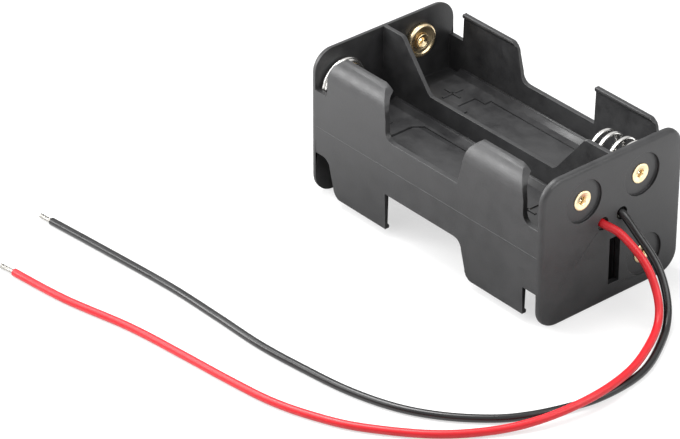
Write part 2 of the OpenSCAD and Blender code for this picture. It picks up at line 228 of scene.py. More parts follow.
@dataclass
class SurfaceEffects:
    """Shader node groups that several finishes share, each built on first use.

    Attributes:
        made: The groups that are there already, by name.
    """

    made: dict[str, bpy.types.NodeTree] = field(default_factory=dict)

    def grain(self) -> bpy.types.NodeTree:
        """Returns the group for fine grain and slow mottle."""
        if "grain" not in self.made:
            sheet = new_group("fine_grain", {"Grain scale": 4000.0, "Mottle scale": 120.0},
                              ("Grain", "Mottle"))
            source = sheet.add("NodeGroupInput")
            fine = sheet.feed(sheet.add("ShaderNodeTexNoise"), Vector=source.outputs["Vector"],
                              Scale=source.outputs["Grain scale"], Detail=3.0, Roughness=0.55)
            slow = sheet.feed(sheet.add("ShaderNodeTexNoise"), Vector=source.outputs["Vector"],
                              Scale=source.outputs["Mottle scale"], Detail=4.0, Roughness=0.6)
            end = sheet.add("NodeGroupOutput")
            mottle = sheet.spread(slow.outputs[0], 0.0, 1.0, 0.3, 0.7)
            sheet.feed(end, Grain=fine.outputs[0], Mottle=mottle)
            self.made["grain"] = sheet.tree
        return self.made["grain"]

    def scratches(self) -> bpy.types.NodeTree:
        """Returns the group for sparse hairline scratches and handling marks."""
        if "scratches" not in self.made:
            sheet = new_group("handling_marks", {"Scale": 90.0, "Amount": 0.5}, ("Scratch", "Rub"))
            source = sheet.add("NodeGroupInput")
            turn = sheet.add("ShaderNodeMapping")
            sheet.feed(turn, Vector=source.outputs["Vector"], Rotation=(0.4, 0.3, 0.7),
                       Scale=(1.0, 14.0, 9.0))
            lines = sheet.feed(sheet.add("ShaderNodeTexNoise"), Vector=turn.outputs[0],
                               Scale=source.outputs["Scale"], Detail=2.0)
            where = sheet.feed(sheet.add("ShaderNodeTexNoise"), Vector=source.outputs["Vector"],
                               Scale=sheet.math("MULTIPLY", source.outputs["Scale"], 1.7))
            fine = sheet.spread(lines.outputs[0], 0.0, 1.0, 0.68, 0.74)
            patch = sheet.spread(where.outputs[0], 0.0, 1.0, 0.45, 0.65)
            rub = sheet.math("MULTIPLY", patch, source.outputs["Amount"])
            scratch = sheet.math("MULTIPLY", fine, rub)
            sheet.feed(sheet.add("NodeGroupOutput"), Scratch=scratch, Rub=rub)
            self.made["scratches"] = sheet.tree
        return self.made["scratches"]


EFFECTS = SurfaceEffects()


# ------------------------------------------------------------------ finishes


@dataclass(frozen=True)
class Finish:
    """A finish with a colour that varies over the surface, grain and handling marks.

    Attributes:
        name: The material's name.
        slot: The record's slot that the finish belongs to; not used.
        colour: Main colour.
        second: Colour of the slow mottle.
        roughness: Lowest roughness.
        rougher: Highest roughness.
        metallic: One for metal.
        grain_mm: Size of the surface grain.
        mottle_mm: Size of the slow mottle.
        depth_mm: Height of the grain.
        marks: Strength of the handling marks.
        marks_scale: Scale of the handling marks' pattern.
        rub: How much rougher a handled patch is.
        scratch_depth: Depth of a scratch, as a share of the grain's height.
    """

    name: str
    slot: Slot
    colour: Colour
    second: Colour
    roughness: float
    rougher: float
    metallic: float = 0.0
    grain_mm: float = 0.25
    mottle_mm: float = 8.0
    depth_mm: float = 0.004
    marks: float = 0.4
    marks_scale: float = 90.0
    rub: float = 0.06
    scratch_depth: float = 0.8

    def material(self) -> bpy.types.Material:
        """Builds the material on first use.

        Returns:
            The finish's material.
        """
        if self.name in bpy.data.materials:
            return bpy.data.materials[self.name]
        made = bpy.data.materials.new(self.name)
        made.diffuse_color = (*self.colour, 1.0)
        sheet = blank_sheet(made)
        place = sheet.add("ShaderNodeTexCoord").outputs["Object"]
        grain = sheet.feed(sheet.add("ShaderNodeGroup", node_tree=EFFECTS.grain()), Vector=place,
                           Grain_scale=1.0 / MM / self.grain_mm,
                           Mottle_scale=1.0 / MM / self.mottle_mm)
        marks = sheet.feed(sheet.add("ShaderNodeGroup", node_tree=EFFECTS.scratches()),
                           Vector=place, Scale=self.marks_scale, Amount=self.marks)
        tone = sheet.math("ADD", grain.outputs["Mottle"], marks.outputs["Scratch"])
        colour = sheet.blend(tone, self.colour, self.second)
        gloss = sheet.spread(grain.outputs["Mottle"], self.roughness, self.rougher)
        gloss = sheet.math("ADD", gloss, sheet.math("MULTIPLY", marks.outputs["Rub"], self.rub))
        scratch = sheet.math("MULTIPLY", marks.outputs["Scratch"], self.scratch_depth)
        height = sheet.math("SUBTRACT", grain.outputs["Grain"], scratch)
        bump = sheet.feed(sheet.add("ShaderNodeBump"), Height=height, Strength=1.0,
                          Distance=self.depth_mm * MM)
        shader = sheet.feed(sheet.add("ShaderNodeBsdfPrincipled"), Base_Color=colour,
                            Roughness=gloss, Metallic=self.metallic, Normal=bump.outputs[0])
        sheet.feed(sheet.add("ShaderNodeOutputMaterial"), Surface=shader.outputs[0])
        return made


SATIN_PLASTIC = Finish("satin_black_plastic", Slot.PLASTIC, (0.017, 0.017, 0.018),
                       (0.031, 0.031, 0.032), 0.34, 0.50, grain_mm=0.30, mottle_mm=3.0,
                       depth_mm=0.016, marks=0.5)
SPRING_NICKEL = Finish("nickel_spring_wire", Slot.NICKEL, (0.76, 0.75, 0.73), (0.62, 0.61, 0.59),
                       0.16, 0.26, metallic=1.0, grain_mm=0.12, mottle_mm=2.0, depth_mm=0.001)
BRASS = Finish("brass_contact", Slot.BRASS, (0.90, 0.76, 0.50), (0.80, 0.61, 0.36), 0.22, 0.34,
               metallic=1.0, grain_mm=0.12, mottle_mm=1.5, depth_mm=0.0015)
TINNED_STRIP = Finish("tinned_strip", Slot.TIN, (0.74, 0.72, 0.66), (0.62, 0.59, 0.52), 0.24, 0.38,
                      metallic=1.0, grain_mm=0.18, mottle_mm=2.5, depth_mm=0.002)
RED_PVC = Finish("red_lead_insulation", Slot.RED, (0.70, 0.009, 0.018), (0.58, 0.006, 0.013), 0.34,
                 0.44, grain_mm=0.35, mottle_mm=5.0, depth_mm=0.003, marks=0.25)
BLACK_PVC = Finish("black_lead_insulation", Slot.BLACK, (0.003, 0.003, 0.0035),
                   (0.006, 0.006, 0.0065), 0.24, 0.34, grain_mm=0.35, mottle_mm=5.0,
                   depth_mm=0.003, marks=0.3)
TINNED_STRANDS = Finish("tinned_strands", Slot.STRANDS, (0.40, 0.39, 0.37), (0.26, 0.25, 0.23),
                        0.22, 0.34, metallic=1.0, grain_mm=0.1, mottle_mm=0.8, depth_mm=0.001)


# ------------------------------------------------------------------ mesh helpers


def placed_object(name: str, data: bpy.types.ID) -> bpy.types.Object:
    """Makes an object of a mesh, curve, light or camera and links it to the scene."""
    made = bpy.data.objects.new(name, data)
    bpy.context.scene.collection.objects.link(made)
    return made


def bridge(work: bmesh.types.BMesh, first: list[bmesh.types.BMVert],
           second: list[bmesh.types.BMVert]) -> list[bmesh.types.BMFace]:
    """Joins two closed loops of corners by a band of faces.

    Args:
        work: The mesh that they are in.
        first: One loop.
        second: The other loop, with as many corners.

    Returns:
        The faces of the band.
    """
    band = []
    for i in range(len(first)):
        j = (i + 1) % len(first)
        band.append(work.faces.new((first[i], first[j], second[j], second[i])))
    return band


def arc(first: int, last: int, step: int) -> list[float]:
    """Gives the angles of an arc, in radians, from limits and a step in degrees."""
    return [math.radians(degrees) for degrees in range(first, last + 1, step)]


def dressed_piece(name: str, data: bpy.types.ID, finish: Finish) -> bpy.types.Object:
    """Makes a piece of a mesh or curve that is already in place, and reports it.

    Args:
        name: The piece's name.
        data: Its mesh or curve, in the shared frame.
        finish: Its finish.

    Returns:
        The piece, riding on the root.
    """
    data.materials.clear()
    data.materials.append(finish.material())
    piece = placed_object(name, data)
    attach(piece, "root")
    LOG.info("%s in %s", name, finish.name)
    return piece


def merged_copy(node: str, smooth_angle: float) -> bpy.types.Mesh:
    """Copies a solid's mesh, merges it and lays its level faces out afresh.

    Args:
        node: The solid's name.
        smooth_angle: Edges under this angle, in degrees, are shaded smooth.

    Returns:
        The new mesh.
    """
    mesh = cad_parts[node].data.copy()
    work = bmesh.new()
    work.from_mesh(mesh)
    bmesh.ops.remove_doubles(work, verts=work.verts, dist=SAME_POINT)
    bmesh.ops.dissolve_limit(work, angle_limit=math.radians(LEVEL_DEGREES), verts=work.verts,
                             edges=work.edges)
    bmesh.ops.triangulate(work, faces=work.faces)
    limit = math.radians(smooth_angle)
    for face in work.faces:
        face.smooth = True
    for edge in work.edges:
        edge.smooth = len(edge.link_faces) == 2 and edge.calc_face_angle(0.0) < limit
    work.to_mesh(mesh)
    work.free()
    return mesh


def closed_piece(name: str, work: bmesh.types.BMesh, finish: Finish) -> bpy.types.Object:
    """Makes a piece of closed forms, with all their faces outwards.

    Args:
        name: The piece's name.
        work: The mesh under work, which is used up.
        finish: Its finish.

    Returns:
        The piece.
    """
    bmesh.ops.recalc_face_normals(work, faces=work.faces)
    mesh = bpy.data.meshes.new(name)
    work.to_mesh(mesh)
    work.free()
    return dressed_piece(name, mesh, finish)


def settled(piece: bpy.types.Object, name: str) -> bpy.types.Mesh:
    """Turns a piece with live modifiers into a plain mesh and removes the piece.

    Args:
        piece: The piece with its modifiers.
        name: Name of the new mesh.

    Returns:
        The evaluated mesh.
    """
    graph = bpy.context.evaluated_depsgraph_get()
    graph.update()
    mesh = bpy.data.meshes.new_from_object(piece.evaluated_get(graph))
    mesh.name = name
    piece.modifiers.clear()
    bpy.data.objects.remove(piece)
    return mesh


@dataclass(frozen=True)
class Wire:
    """Round wire, or one strand with others twisted round it, swept by a geometry tree.

    Attributes:
        finish: Its finish.
        wire_d: Diameter of one strand.
        sides: Sides of a strand's section.
        strands: Number of strands.
        lay_r: Distance of the outer strands from the middle one.
        twist: Turn of the outer strands over the whole line, in radians.
        flare: How far they spread at the end, as a share of that distance.
        tree_name: Name of the tree, which all wires share.
    """

    finish: Finish
    wire_d: float
    sides: int
    strands: int = 1
    lay_r: float = 0.0
    twist: float = 0.0
    flare: float = 0.0
    tree_name: str = "twisted_wire"

    def sweep(self, name: str, node: str, points: list[Point]) -> bpy.types.Object:
        """Sweeps the wire along a line and lets it stand for a solid.

        Args:
            name: The piece's name.
            node: The solid that it stands for.
            points: Points of the line, in metres.

        Returns:
            The piece.
        """
        mesh = bpy.data.meshes.new(name)
        mesh.from_pydata(points, [(i, i + 1) for i in range(len(points) - 1)], [])
        line = placed_object(name, mesh)
        modifier = line.modifiers.new("build", "NODES")
        modifier.node_group = self.tree()
        values = {"Wire radius": self.wire_d / 2 * MM, "Lay radius": self.lay_r * MM,
                  "Twist": self.twist, "Flare": self.flare, "Strands": self.strands,
                  "Sides": self.sides, "Finish": self.finish.material()}
        for item in modifier.node_group.interface.items_tree:
            if item.item_type == "SOCKET" and item.in_out == "INPUT" and item.name in values:
                modifier[item.identifier] = values[item.name]
        piece = dressed_piece(name, settled(line, name), self.finish)
        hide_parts(node)
        return piece

    def tree(self) -> bpy.types.NodeTree:
        """Builds the tree on first use.

        Returns:
            The tree, with named inputs for every size.
        """
        if self.tree_name in bpy.data.node_groups:
            return bpy.data.node_groups[self.tree_name]
        tree = bpy.data.node_groups.new(self.tree_name, "GeometryNodeTree")
        face = tree.interface
        face.new_socket("Geometry", in_out="INPUT", socket_type="NodeSocketGeometry")
        for key, kind in (("Wire radius", "Float"), ("Lay radius", "Float"), ("Twist", "Float"),
                          ("Flare", "Float"), ("Strands", "Int"), ("Sides", "Int"),
                          ("Finish", "Material")):
            face.new_socket(key, in_out="INPUT", socket_type="NodeSocket" + kind)
        face.new_socket("Geometry", in_out="OUTPUT", socket_type="NodeSocketGeometry")
        sheet = NodeSheet(tree)
        source = sheet.add("NodeGroupInput").outputs
        path = sheet.feed(sheet.add("GeometryNodeMeshToCurve"), i0=source["Geometry"])
        many = sheet.feed(sheet.add("GeometryNodeDuplicateElements", domain="SPLINE"),
                          Geometry=path.outputs[0], Amount=source["Strands"])
        moved = sheet.feed(sheet.add("GeometryNodeSetPosition"), Geometry=many.outputs["Geometry"],
                           Offset=self.lay(sheet, source, many.outputs["Duplicate Index"]))
        ring = sheet.feed(sheet.add("GeometryNodeCurvePrimitiveCircle"),
                          Resolution=source["Sides"], Radius=source["Wire radius"])
        swept = sheet.feed(sheet.add("GeometryNodeCurveToMesh"), Curve=moved.outputs[0],
                           Profile_Curve=ring.outputs[0], Fill_Caps=True)
        smooth = sheet.feed(sheet.add("GeometryNodeSetShadeSmooth"), Geometry=swept.outputs[0])
        real = sheet.feed(sheet.add("GeometryNodeRealizeInstances"), Geometry=smooth.outputs[0])
        dressed = sheet.feed(sheet.add("GeometryNodeSetMaterial"), Geometry=real.outputs[0],
                             Material=source["Finish"])
        sheet.feed(sheet.add("NodeGroupOutput"), Geometry=dressed.outputs[0])
        return tree

    def lay(self, sheet: NodeSheet, source: bpy.types.bpy_prop_collection,
            index: bpy.types.NodeSocket) -> bpy.types.NodeSocket:
        """Adds the nodes that lay the outer strands round the middle one.

        Args:
            sheet: The sheet on the tree.
            source: The tree's inputs.
            index: The number of the strand.

        Returns:
            The socket of a strand's offset from the line.
        """
        factor = sheet.add("GeometryNodeSplineParameter").outputs["Factor"]
        others = sheet.math("MAXIMUM", sheet.math("SUBTRACT", source["Strands"], 1.0), 1.0)
        turn = sheet.math("MULTIPLY", sheet.math("DIVIDE", index, others), math.tau)
        angle = sheet.math("ADD", turn, sheet.math("MULTIPLY", factor, source["Twist"]))
        opening = sheet.math("MULTIPLY", source["Flare"], sheet.math("MULTIPLY", factor, factor))
        outer = sheet.math("MULTIPLY", source["Lay radius"], sheet.math("MINIMUM", index, 1.0))
        reach = sheet.math("MULTIPLY", outer, sheet.math("ADD", 1.0, opening))
        along = sheet.add("GeometryNodeInputTangent").outputs[0]
        side = sheet.add("GeometryNodeInputNormal").outputs[0]
        across = sheet.feed(sheet.add("ShaderNodeVectorMath", operation="CROSS_PRODUCT"),
                            i0=along, i1=side).outputs[0]
        parts = []
        for axis, wave in ((side, "COSINE"), (across, "SINE")):
            amount = sheet.math("MULTIPLY", reach, sheet.math(wave, angle))
            scaled = sheet.add("ShaderNodeVectorMath", operation="SCALE")
            parts.append(sheet.feed(scaled, i0=axis, Scale=amount).outputs[0])
        return sheet.feed(sheet.add("ShaderNodeVectorMath", operation="ADD"),
                          i0=parts[0], i1=parts[1]).outputs[0]


# ------------------------------------------------------------------ the holder


@dataclass(frozen=True)
class BayRelief:
    """Raised forms on the floor of one bay, measured in a bay whose dome is at -X.

    Attributes:
        side: The face that the bay lies on.
        turn: Plus one for a bay that lies that way, minus one for its neighbour.
        body_from: Where the cell-shaped window starts.
        body_to: Where it ends.
        nub_from: Where the window's button starts.
        middle: How far the window lies outside the bay's middle line.
        body_half: Half the window's width.
        plus_at: Middle of the plus sign.
        bay_y: Distance of the bay's middle line from the divider's middle.
        mid_z: Height of the holder's middle.
        floor_z: Height of the bare floor over the middle.
        panel_z: Height of the solid's panel over the middle.
        raised: Height of the plate over the panel.
        nub_half: Half the width of the window's button.
        corner: Size of the window's cut corners, along and across the bay.
        flank: How far the window's sides lean outwards.
        sink: How far the forms reach under the bare floor.
        minus_at: Middle of the minus sign.
        stroke_half: Half the width of a sign's strokes.
        plus_half: Half the lengths of the plus sign, along and across the bay.
        minus_half: Half the length of the minus sign.
        stroke_rise: Height of a sign over the plate.
        stroke_sink: How far it reaches into the plate.
        stroke_lean: How far a stroke's sides lean inwards.
        plate_half: Half the length and width of the plate.
        cradle_half: Where the hollow flank starts and ends across the bay.
        cradle_x: Half the flank's length.
        cradle_rise: Its rise towards the wall.
        cradle_sink: How far it starts under the panel's top.
        cradle_steps: Number of level strips of its hollow.
        rim_mm: Radius of its rounded rim.
    """

    side: Face
    turn: int
    body_from: float
    body_to: float
    nub_from: float
    middle: float
    body_half: float
    plus_at: Pair
    bay_y: float = 7.575
    mid_z: float = MID_Z
    floor_z: float = 0.4
    panel_z: float = 0.7
    raised: float = 0.22
    nub_half: float = 1.97
    corner: Pair = (1.4, 1.7)
    flank: float = 0.10
    sink: float = 0.05
    minus_at: Pair = (19.0, 0.0)
    stroke_half: float = 0.27
    plus_half: Pair = (2.0, 2.4)
    minus_half: float = 1.7
    stroke_rise: float = 0.2
    stroke_sink: float = 0.1
    stroke_lean: float = 0.09
    plate_half: Pair = (24.4, 5.55)
    cradle_half: Pair = (4.1, 6.9)
    cradle_x: float = 24.6
    cradle_rise: float = 0.8
    cradle_sink: float = 0.06
    cradle_steps: int = 10
    rim_mm: float = 0.19

    def placed(self, x: float, y: float, z: float) -> Point:
        """Places a point of the bay.

        Args:
            x: Place along the bay.
            y: Place across it, from its middle line.
            z: Height over the middle of the holder.

        Returns:
            The point in metres.
        """
        return (self.side.value * self.turn * x * MM, self.turn * (self.bay_y + y) * MM,
                (self.mid_z + self.side.value * z) * MM)

    def loop(self, work: bmesh.types.BMesh, outline: list[Vector], grow: float,
             z: float) -> list[bmesh.types.BMVert]:
        """Adds the corners of one outline at one height.

        Args:
            work: The mesh that they go into.
            outline: The outline, counter-clockwise.
            grow: How far outside it the corners lie.
            z: Their height.

        Returns:
            The corners.
        """
        made = []
        for i, here in enumerate(outline):
            before = (here - outline[i - 1]).normalized()
            after = (outline[(i + 1) % len(outline)] - here).normalized()
            a, b = Vector((before.y, -before.x)), Vector((after.y, -after.x))
            spot = here + (a + b) / (1.0 + a.dot(b)) * grow
            made.append(work.verts.new(self.placed(spot.x, spot.y, z)))
        return made

    def bar(self, work: bmesh.types.BMesh, centre: Pair, half_x: float,
            half_y: float) -> None:
        """Adds one raised stroke of a sign.

        Args:
            work: The mesh that it goes into.
            centre: Its middle.
            half_x: Half its size along the bay.
            half_y: Half its size across the bay.
        """
        x, y = centre
        top = self.panel_z + self.raised
        outline = [Vector((x + i * half_x, y + j * half_y)) for i, j in SQUARE]
        low = self.loop(work, outline, 0.0, top - self.stroke_sink)
        high = self.loop(work, outline, -self.stroke_lean, top + self.stroke_rise)
        work.faces.new(low)
        work.faces.new(high)
        bridge(work, low, high)

    def window(self) -> list[Vector]:
        """Gives the outline of a cell with its button."""
        h, n, m = self.body_half, self.nub_half, self.middle
        cx, cy = self.corner
        spots = [(self.body_from, m - h), (self.body_to - cx, m - h), (self.body_to, m - h + cy),
                 (self.body_to, m + h - cy), (self.body_to - cx, m + h), (self.body_from, m + h),
                 (self.body_from, m + n), (self.nub_from, m + n), (self.nub_from, m - n),
                 (self.body_from, m - n)]
        return [Vector(spot) for spot in spots]

    def plate(self, work: bmesh.types.BMesh) -> None:
        """Adds the raised plate with its cell-shaped window.

        Args:
            work: The mesh that it goes into.
        """
        rim = [Vector((i * self.plate_half[0], j * self.plate_half[1])) for i, j in SQUARE]
        loops = []
        for outline, grow in ((rim, 0.0), (self.window(), self.flank)):
            low = self.loop(work, outline, 0.0, self.floor_z - self.sink)
            high = self.loop(work, outline, grow, self.panel_z + self.raised)
            bridge(work, low, high)
            loops.append((low, high))
        for rings in zip(*loops):
            edges = [work.edges.get((ring[i - 1], ring[i]))
                     for ring in rings for i in range(len(ring))]
            bmesh.ops.triangle_fill(work, use_beauty=True, edges=edges)

    def cradle(self, work: bmesh.types.BMesh, sign: int) -> None:
        """Adds the hollow flank of the floor that cradles the cell, with its rounded rim.

        Args:
            work: The mesh that it goes into.
            sign: Plus one for the outer flank of the bay.
        """
        y0, y1 = self.cradle_half
        foot = self.panel_z - self.cradle_sink
        curve = []
        for i in range(self.cradle_steps + 1):
            share = i / self.cradle_steps
            curve.append((y0 + (y1 - y0) * share, foot + self.cradle_rise * share * share))
        top, r = foot + self.cradle_rise, self.rim_mm
        for angle in reversed(arc(0, 180, 30)):
            curve.append((y1 + r + r * math.cos(angle), top + r * math.sin(angle)))
        rounded = len(curve) - 1
        curve += [(y1 + r, self.floor_z - self.sink), (y0, self.floor_z - self.sink)]
        ends = [[work.verts.new(self.placed(x, sign * y, z)) for y, z in curve]
                for x in (-self.cradle_x, self.cradle_x)]
        for ring in ends:
            work.faces.new(ring)
        for i, face in enumerate(bridge(work, *ends)):
            face.smooth = i < rounded

    def build(self, work: bmesh.types.BMesh) -> None:
        """Adds all the relief of the bay.

        Args:
            work: The mesh that it goes into.
        """
        self.plate(work)
        self.bar(work, self.plus_at, self.plus_half[0], self.stroke_half)
        self.bar(work, self.plus_at, self.stroke_half, self.plus_half[1])
        self.bar(work, self.minus_at, self.stroke_half, self.minus_half)
        for sign in (-1, 1):
            self.cradle(work, sign)


@dataclass
class Moulding:
    """The open moulding with its end plates, lips, divider and floor.

    Attributes:
        edge_mm: Rounding of the moulding's sharp edges.
        edge_degrees: Edges that bend more than this are rounded.
        arc_degrees: Edges that bend less than this are shaded smooth.
        half_w: Half the width over the side walls.
        ridge: Section of the mould line, outwards and upwards from the wall.
        rib: Lowest and highest corner of the slot's guide rib.
        rib_edge: Rounding of the rib's edges.
        bays: The relief of each bay.
    """

    edge_mm: float = 0.085
    edge_degrees: float = 35.0
    arc_degrees: float = 32.0
    half_w: float = 15.75
    ridge: tuple[Pair, ...] = (
        (-0.1, -0.1), (0.0, -0.07), (0.035, 0.0), (0.0, 0.07), (-0.1, 0.1))
    rib: tuple[Point, Point] = ((25.75, 2.02, 1.0), (27.5, 2.5, 13.65))
    rib_edge: float = 0.1
    bays: tuple[BayRelief, ...] = tuple(
        relief for side in Face for relief in (
            BayRelief(side, turn=1, body_from=-13.4, body_to=15.7, nub_from=-15.9, middle=0.7,
                      body_half=3.4, plus_at=(-19.6, 0.8)),
            BayRelief(side, turn=-1, body_from=-11.2, body_to=15.8, nub_from=-13.6, middle=0.0,
                      body_half=4.8, plus_at=(-16.8, 0.0))))

    def build(self) -> None:
        """Builds the body, the relief of the floors, the mould line and the rib."""
        self.body()
        for side in Face:
            self.relief(side)
        self.mould_line()
        self.slot_rib()

    def body(self) -> None:
        """Rounds the edges of the moulding and shades its arcs smooth."""
        draft = placed_object("moulding_draft", merged_copy("holder_body", self.arc_degrees))
        rounding = draft.modifiers.new("edges", "BEVEL")
        rounding.width = self.edge_mm * MM
        rounding.segments = 2
        rounding.limit_method = "ANGLE"
        rounding.angle_limit = math.radians(self.edge_degrees)
        rounding.use_clamp_overlap = False
        rounding.harden_normals = True
        rounding.miter_outer = "MITER_SHARP"
        piece = dressed_piece("moulded_holder", settled(draft, "moulded_holder"), SATIN_PLASTIC)
        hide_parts("holder_body")

    def relief(self, side: Face) -> None:
        """Builds the raised forms on the floors of one face.

        Args:
            side: The face.
        """
        work = bmesh.new()
        for bay in self.bays:
            if bay.side is side:
                bay.build(work)
        closed_piece(f"floor_relief_{side.name.lower()}", work, SATIN_PLASTIC)

    def mould_line(self) -> None:
        """Builds the fine parting ridge along both side walls."""
        work = bmesh.new()
        for sign in (-1, 1):
            ends = []
            for x in (-INNER_X, INNER_X):
                ends.append([work.verts.new((x * MM, sign * (self.half_w + y) * MM,
                                             (MID_Z + z) * MM)) for y, z in self.ridge])
            for ring in ends:
                work.faces.new(ring)
            bridge(work, *ends)
        closed_piece("mould_line", work, SATIN_PLASTIC)

    def slot_rib(self) -> None:
        """Builds the short rib that guides the strip beside the slot."""
        work = bmesh.new()
        low, high = (Vector(corner) for corner in self.rib)
        for vert in bmesh.ops.create_cube(work, size=1.0)["verts"]:
            vert.co = ((low + high) / 2 + (high - low) * vert.co) * MM
        bmesh.ops.bevel(work, geom=work.edges[:], offset=self.rib_edge * MM, segments=2,
                        affect="EDGES")
        closed_piece("slot_guide_rib", work, SATIN_PLASTIC)


@dataclass(frozen=True)
class PlatePart:
    """A contact part that is seated on one of the end plates.

    Attributes:
        node: The solid that it stands for.
        plate: The end plate. The leads leave by the near one.
        at: Y and Z of its axis.
        base: Height of its seat over the plate's inner face.
    """

    node: str
    plate: Plate
    at: Pair
    base: float

    def place(self, height: float, y: float, z: float) -> Point:
        """Places a point of the part.

        Args:
            height: Height over the plate's inner face.
            y: Distance from the axis, sideways.
            z: Distance from the axis, upwards.

        Returns:
            The point in metres.
        """
        way = self.plate.value
        return (way * (height - INNER_X) * MM, (self.at[0] + way * y) * MM, (self.at[1] + z) * MM)


@dataclass(frozen=True)
class CoilSpring(PlatePart):
    """A conical contact spring, wound by the same rule as its solid.

    Attributes:
        phase: Turn of the whole wire, in degrees.
        foot: Where the axis goes as the spiral opens, in its own Y and Z.
        tip: Where the axis ends.
        squeeze: Share of the free length that the spring stands at.
        wire_d: Diameter of the wire.
        loop_r: Radius of the loop round the rivet.
        base_r: Radius of the lowest turn.
        tip_r: Radius of the last turn.
        turns: Turns between them.
        start: Turn at which the wire starts.
        opens: Turns between which the loop opens to the lowest turn.
        wound_from: Turn at which the cone starts.
        rises: Turns from the start, and the wire's height over its seat there.
        blend: Turns over which that height is smoothed, to each side.
        steps: Points for each turn.
        sides: Sides of the wire's section.
    """

    phase: float
    foot: Pair
    tip: Pair
    squeeze: float = 1.0
    wire_d: float = 0.7
    loop_r: float = 1.35
    base_r: float = 4.5
    tip_r: float = 3.65
    turns: float = 3.75
    start: float = 1.0 / 6.0
    opens: Pair = (1.0, 1.5)
    wound_from: float = 2.5
    rises: tuple[Pair, ...] = (
        (1.5, 0.0), (2.5, 0.55), (3.75, 1.6), (4.75, 4.0), (5.75, 6.9), (6.75, 8.5), (7.25, 9.3))
    blend: float = 0.22
    steps: int = 40
    sides: int = 14

    def opened(self, u: float) -> float:
        """Returns how far the loop has opened after u turns, from zero to one."""
        t = min(1.0, max(0.0, (u - self.opens[0]) / (self.opens[1] - self.opens[0])))
        return t * t * (3.0 - 2.0 * t)

    def wound(self, u: float) -> float:
        """Returns the share of the cone that is wound after u turns."""
        return min(1.0, max(0.0, (u - self.wound_from) / self.turns))

    def radius(self, u: float) -> float:
        """Returns the wire's distance from the axis after u turns."""
        if u < self.opens[1]:
            return self.loop_r + (self.base_r - self.loop_r) * self.opened(u)
        return self.base_r + (self.tip_r - self.base_r) * self.wound(u)

    def straight_rise(self, u: float) -> float:
        """Returns the height after u turns, straight from one known height to the next."""
        before = self.rises[0]
        for after in self.rises[1:]:
            if u < after[0]:
                share = max(0.0, (u - before[0]) / (after[0] - before[0]))
                return before[1] + (after[1] - before[1]) * share
            before = after
        return before[1]

    def rise(self, u: float) -> float:
        """Returns the wire's height over its seat after u turns, smoothed."""
        near = [self.straight_rise(u + self.blend * k / 2) for k in (-2, -1, 0, 1, 2)]
        return self.squeeze * sum(near) / len(near)

    def point(self, u: float) -> Point:
        """Gives one point of the wire's middle line.

        Args:
            u: Turns from the start of the loop round the rivet.

        Returns:
            The point in metres.
        """
        angle = math.tau * u + math.radians(self.phase)
        axis = [self.foot[i] * self.opened(u) + (self.tip[i] - self.foot[i]) * self.wound(u)
                for i in (0, 1)]
        return self.place(self.base + self.wire_d / 2 + self.rise(u),
                          axis[0] + self.radius(u) * math.cos(angle),
                          axis[1] + self.radius(u) * math.sin(angle))

    def build(self) -> None:
        """Winds the wire from its start to one flat turn past the cone."""
        reach = self.wound_from + self.turns + 1.0 - self.start
        count = round(reach * self.steps)
        points = [self.point(self.start + reach * i / count) for i in range(count + 1)]
        Wire(SPRING_NICKEL, self.wire_d, self.sides).sweep(f"wire_{self.node}", self.node, points)


@dataclass(frozen=True)
class Turned(PlatePart):
    """A round contact part, turned about its axis.

    Attributes:
        outer: For a rivet, where its head sits, as a height over the plate's inner face.
        sectors: Number of flat strips round it.
        crease_degrees: Edges that bend more than this stay sharp.
    """

    outer: float = 0.0
    sectors: int = 72
    crease_degrees: float = 50.0

    def profile(self) -> list[Pair]:
        """Returns the closed profile as heights and radii."""
        raise NotImplementedError

    def build(self) -> None:
        """Turns the profile and lets the piece stand for the solid."""
        work = bmesh.new()
        line = self.profile()
        rings = []
        for k in range(self.sectors):
            angle = math.tau * k / self.sectors
            rings.append([work.verts.new(self.place(x, r * math.cos(angle), r * math.sin(angle)))
                          for x, r in line])
        for k, ring in enumerate(rings):
            for face in bridge(work, ring, rings[(k + 1) % self.sectors]):
                face.smooth = True
        for edge in work.edges:
            edge.smooth = edge.calc_face_angle(0.0) < math.radians(self.crease_degrees)
        piece = closed_piece(f"turned_{self.node}", work, BRASS)
        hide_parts(self.node)


@dataclass(frozen=True)
class PressedDome(Turned):
    """A pressed contact with a rolled outer ring round a lower disc.

    Attributes:
        ring_r: Radius of the ring's middle.
        roll_r: Radius of its rolled edge.
        ring_top: Height of the ring.
        disc: Height of the disc, with its radii at the ring and at the rivet.
        hollow: The underside from the rivet outwards, as heights and radii.
        skirt_r: Radii of the ring's foot, outside and inside.
        skirt_h: Height of its foot, inside.
    """

    ring_r: float = 2.68
    roll_r: float = 0.5
    ring_top: float = 1.0
    disc: tuple[float, float, float] = (0.72, 2.06, 1.0)
    hollow: tuple[Pair, ...] = ((0.44, 1.0), (0.44, 2.1), (0.62, 2.5), (0.62, 2.8))
    skirt_r: Pair = (3.2, 2.95)
    skirt_h: float = 0.4

    def profile(self) -> list[Pair]:
        """Returns the dome's closed profile."""
        roll = [(self.ring_top + self.roll_r * (math.sin(a) - 1.0),
                 self.ring_r + self.roll_r * math.cos(a)) for a in arc(0, 150, 15)]
        height, edge, hole = self.disc
        outside, inside = self.skirt_r
        line = [(0.0, outside), *roll, (height, edge), (height, hole), *self.hollow,
                (self.skirt_h, inside), (0.0, inside)]
        return [(self.base + x, r) for x, r in line]


